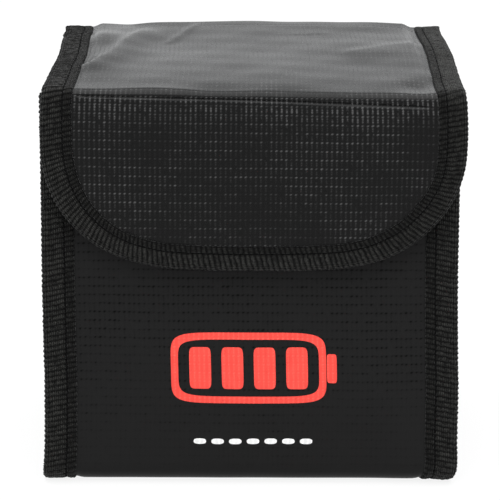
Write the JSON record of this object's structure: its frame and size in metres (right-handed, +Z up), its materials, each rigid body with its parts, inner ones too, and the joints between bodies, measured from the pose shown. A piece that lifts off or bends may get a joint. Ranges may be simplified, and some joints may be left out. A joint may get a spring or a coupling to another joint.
{
  "type": "battery safe bag",
  "caption": "Box-shaped fire-resistant cloth bag with a folding lid and a rounded closing flap, taped seams and a padded inside for model batteries.",
  "frame": {"origin": "middle of the bag's overall box, on the surface it stands on", "axes": "+Z up, the flap faces -Y, +X is the right-hand side seen from the front"},
  "size_m": [0.1268, 0.0894, 0.1268],
  "materials": {
    "coated_cloth": "coated open-grid weave, semi-gloss",
    "ribbed_tape": "ribbed woven binding tape, matt",
    "lining_cloth": "plain woven lining, matt",
    "heat_felt": "pressed fibre felt",
    "hook_pile": "hook side of a hook-and-loop strip",
    "loop_pile": "loop side of a hook-and-loop strip",
    "front_print": "heat-pressed print film, satin"
  },
  "bodies": {
    "bag_body": {"outer_wrap": "coated_cloth", "left_side_panel": "coated_cloth", "right_side_panel": "coated_cloth", "front_pad": "heat_felt", "back_pad": "heat_felt", "base_pad": "heat_felt", "left_pad": "heat_felt", "right_pad": "heat_felt", "inner_lining": "lining_cloth", "left_side_lining": "lining_cloth", "right_side_lining": "lining_cloth", "left_seam_tape": "ribbed_tape", "right_seam_tape": "ribbed_tape", "front_rim_tape": "ribbed_tape", "left_rim_tape": "ribbed_tape", "right_rim_tape": "ribbed_tape", "loop_strip": "loop_pile"},
    "lid": {"lid_panel": "coated_cloth", "lid_lining": "lining_cloth", "lid_left_tape": "ribbed_tape", "lid_right_tape": "ribbed_tape"},
    "flap": {"flap_panel": "coated_cloth", "flap_lining": "lining_cloth", "flap_tape": "ribbed_tape", "hook_strip": "hook_pile"}
  },
  "joints": [
    {"name": "lid_fold", "type": "hinge", "parent": "bag_body", "child": "lid", "pos_m": [0, 0.04145, 0.1269], "axis": [-1, 0, 0], "range_deg": [0, 180]},
    {"name": "flap_fold", "type": "hinge", "parent": "lid", "child": "flap", "pos_m": [0, -0.0448, 0.12175], "axis": [-1, 0, 0], "range_deg": [0, 180]}
  ]
}
